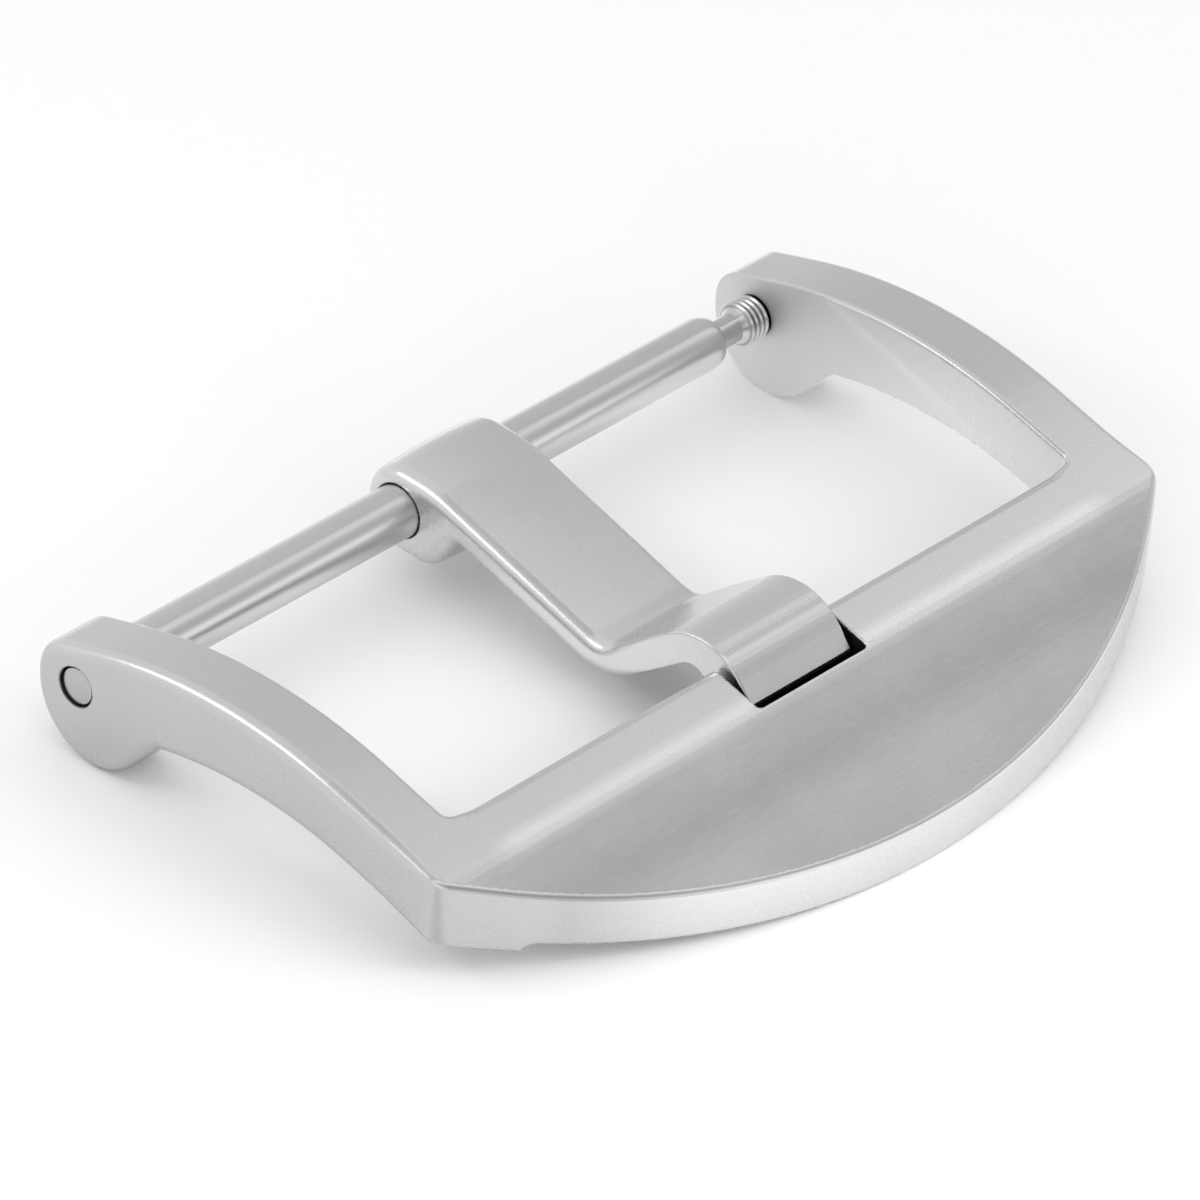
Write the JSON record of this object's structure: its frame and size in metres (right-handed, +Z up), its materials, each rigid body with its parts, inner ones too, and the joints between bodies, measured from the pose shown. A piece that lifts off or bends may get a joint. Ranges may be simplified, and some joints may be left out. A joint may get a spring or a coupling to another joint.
{
  "type": "watch tang buckle",
  "caption": "Curved tang buckle for a watch strap: a D-fronted frame with two arched arms, a humped swinging tongue and a sprung strap bar.",
  "frame": {"origin": "middle of the buckle's footprint, on the surface that it rests on", "axes": "+X along the strap bar, -Y towards the curved front edge, +Z up through the window"},
  "size_m": [0.0278, 0.0188, 0.0043],
  "materials": {
    "frame_steel": "satin, bead blasted",
    "tongue_steel": "satin",
    "bar_steel": "drawn and tumbled",
    "spring_steel": "plain spring wire",
    "pin_steel": "turned"
  },
  "bodies": {
    "frame_body": {"frame": "frame_steel"},
    "tongue_body": {"tongue": "tongue_steel"},
    "bar_body": {"bar_tube": "bar_steel", "bar_spring": "spring_steel"},
    "pin_left_body": {"pin_left": "pin_steel"},
    "pin_right_body": {"pin_right": "pin_steel"}
  },
  "joints": [
    {"name": "tongue_hinge", "type": "hinge", "parent": "frame_body", "child": "tongue_body", "pos_m": [0, 0.00801, 0.00215], "axis": [-1, 0, 0], "range_deg": [0, 349]},
    {"name": "bar_spin", "type": "hinge", "parent": "frame_body", "child": "bar_body", "pos_m": [0, 0.00801, 0.00215], "axis": [1, 0, 0], "continuous": true},
    {"name": "pin_left_slide", "type": "slide", "parent": "bar_body", "child": "pin_left_body", "axis": [1, 0, 0], "range_m": [0, 0.00085], "stiffness_N_per_m": 1200, "springref_m": -0.001, "deforming": ["bar_spring"]},
    {"name": "pin_right_slide", "type": "slide", "parent": "bar_body", "child": "pin_right_body", "axis": [-1, 0, 0], "range_m": [0, 0.00085], "stiffness_N_per_m": 1200, "springref_m": -0.001, "deforming": ["bar_spring"]}
  ]
}
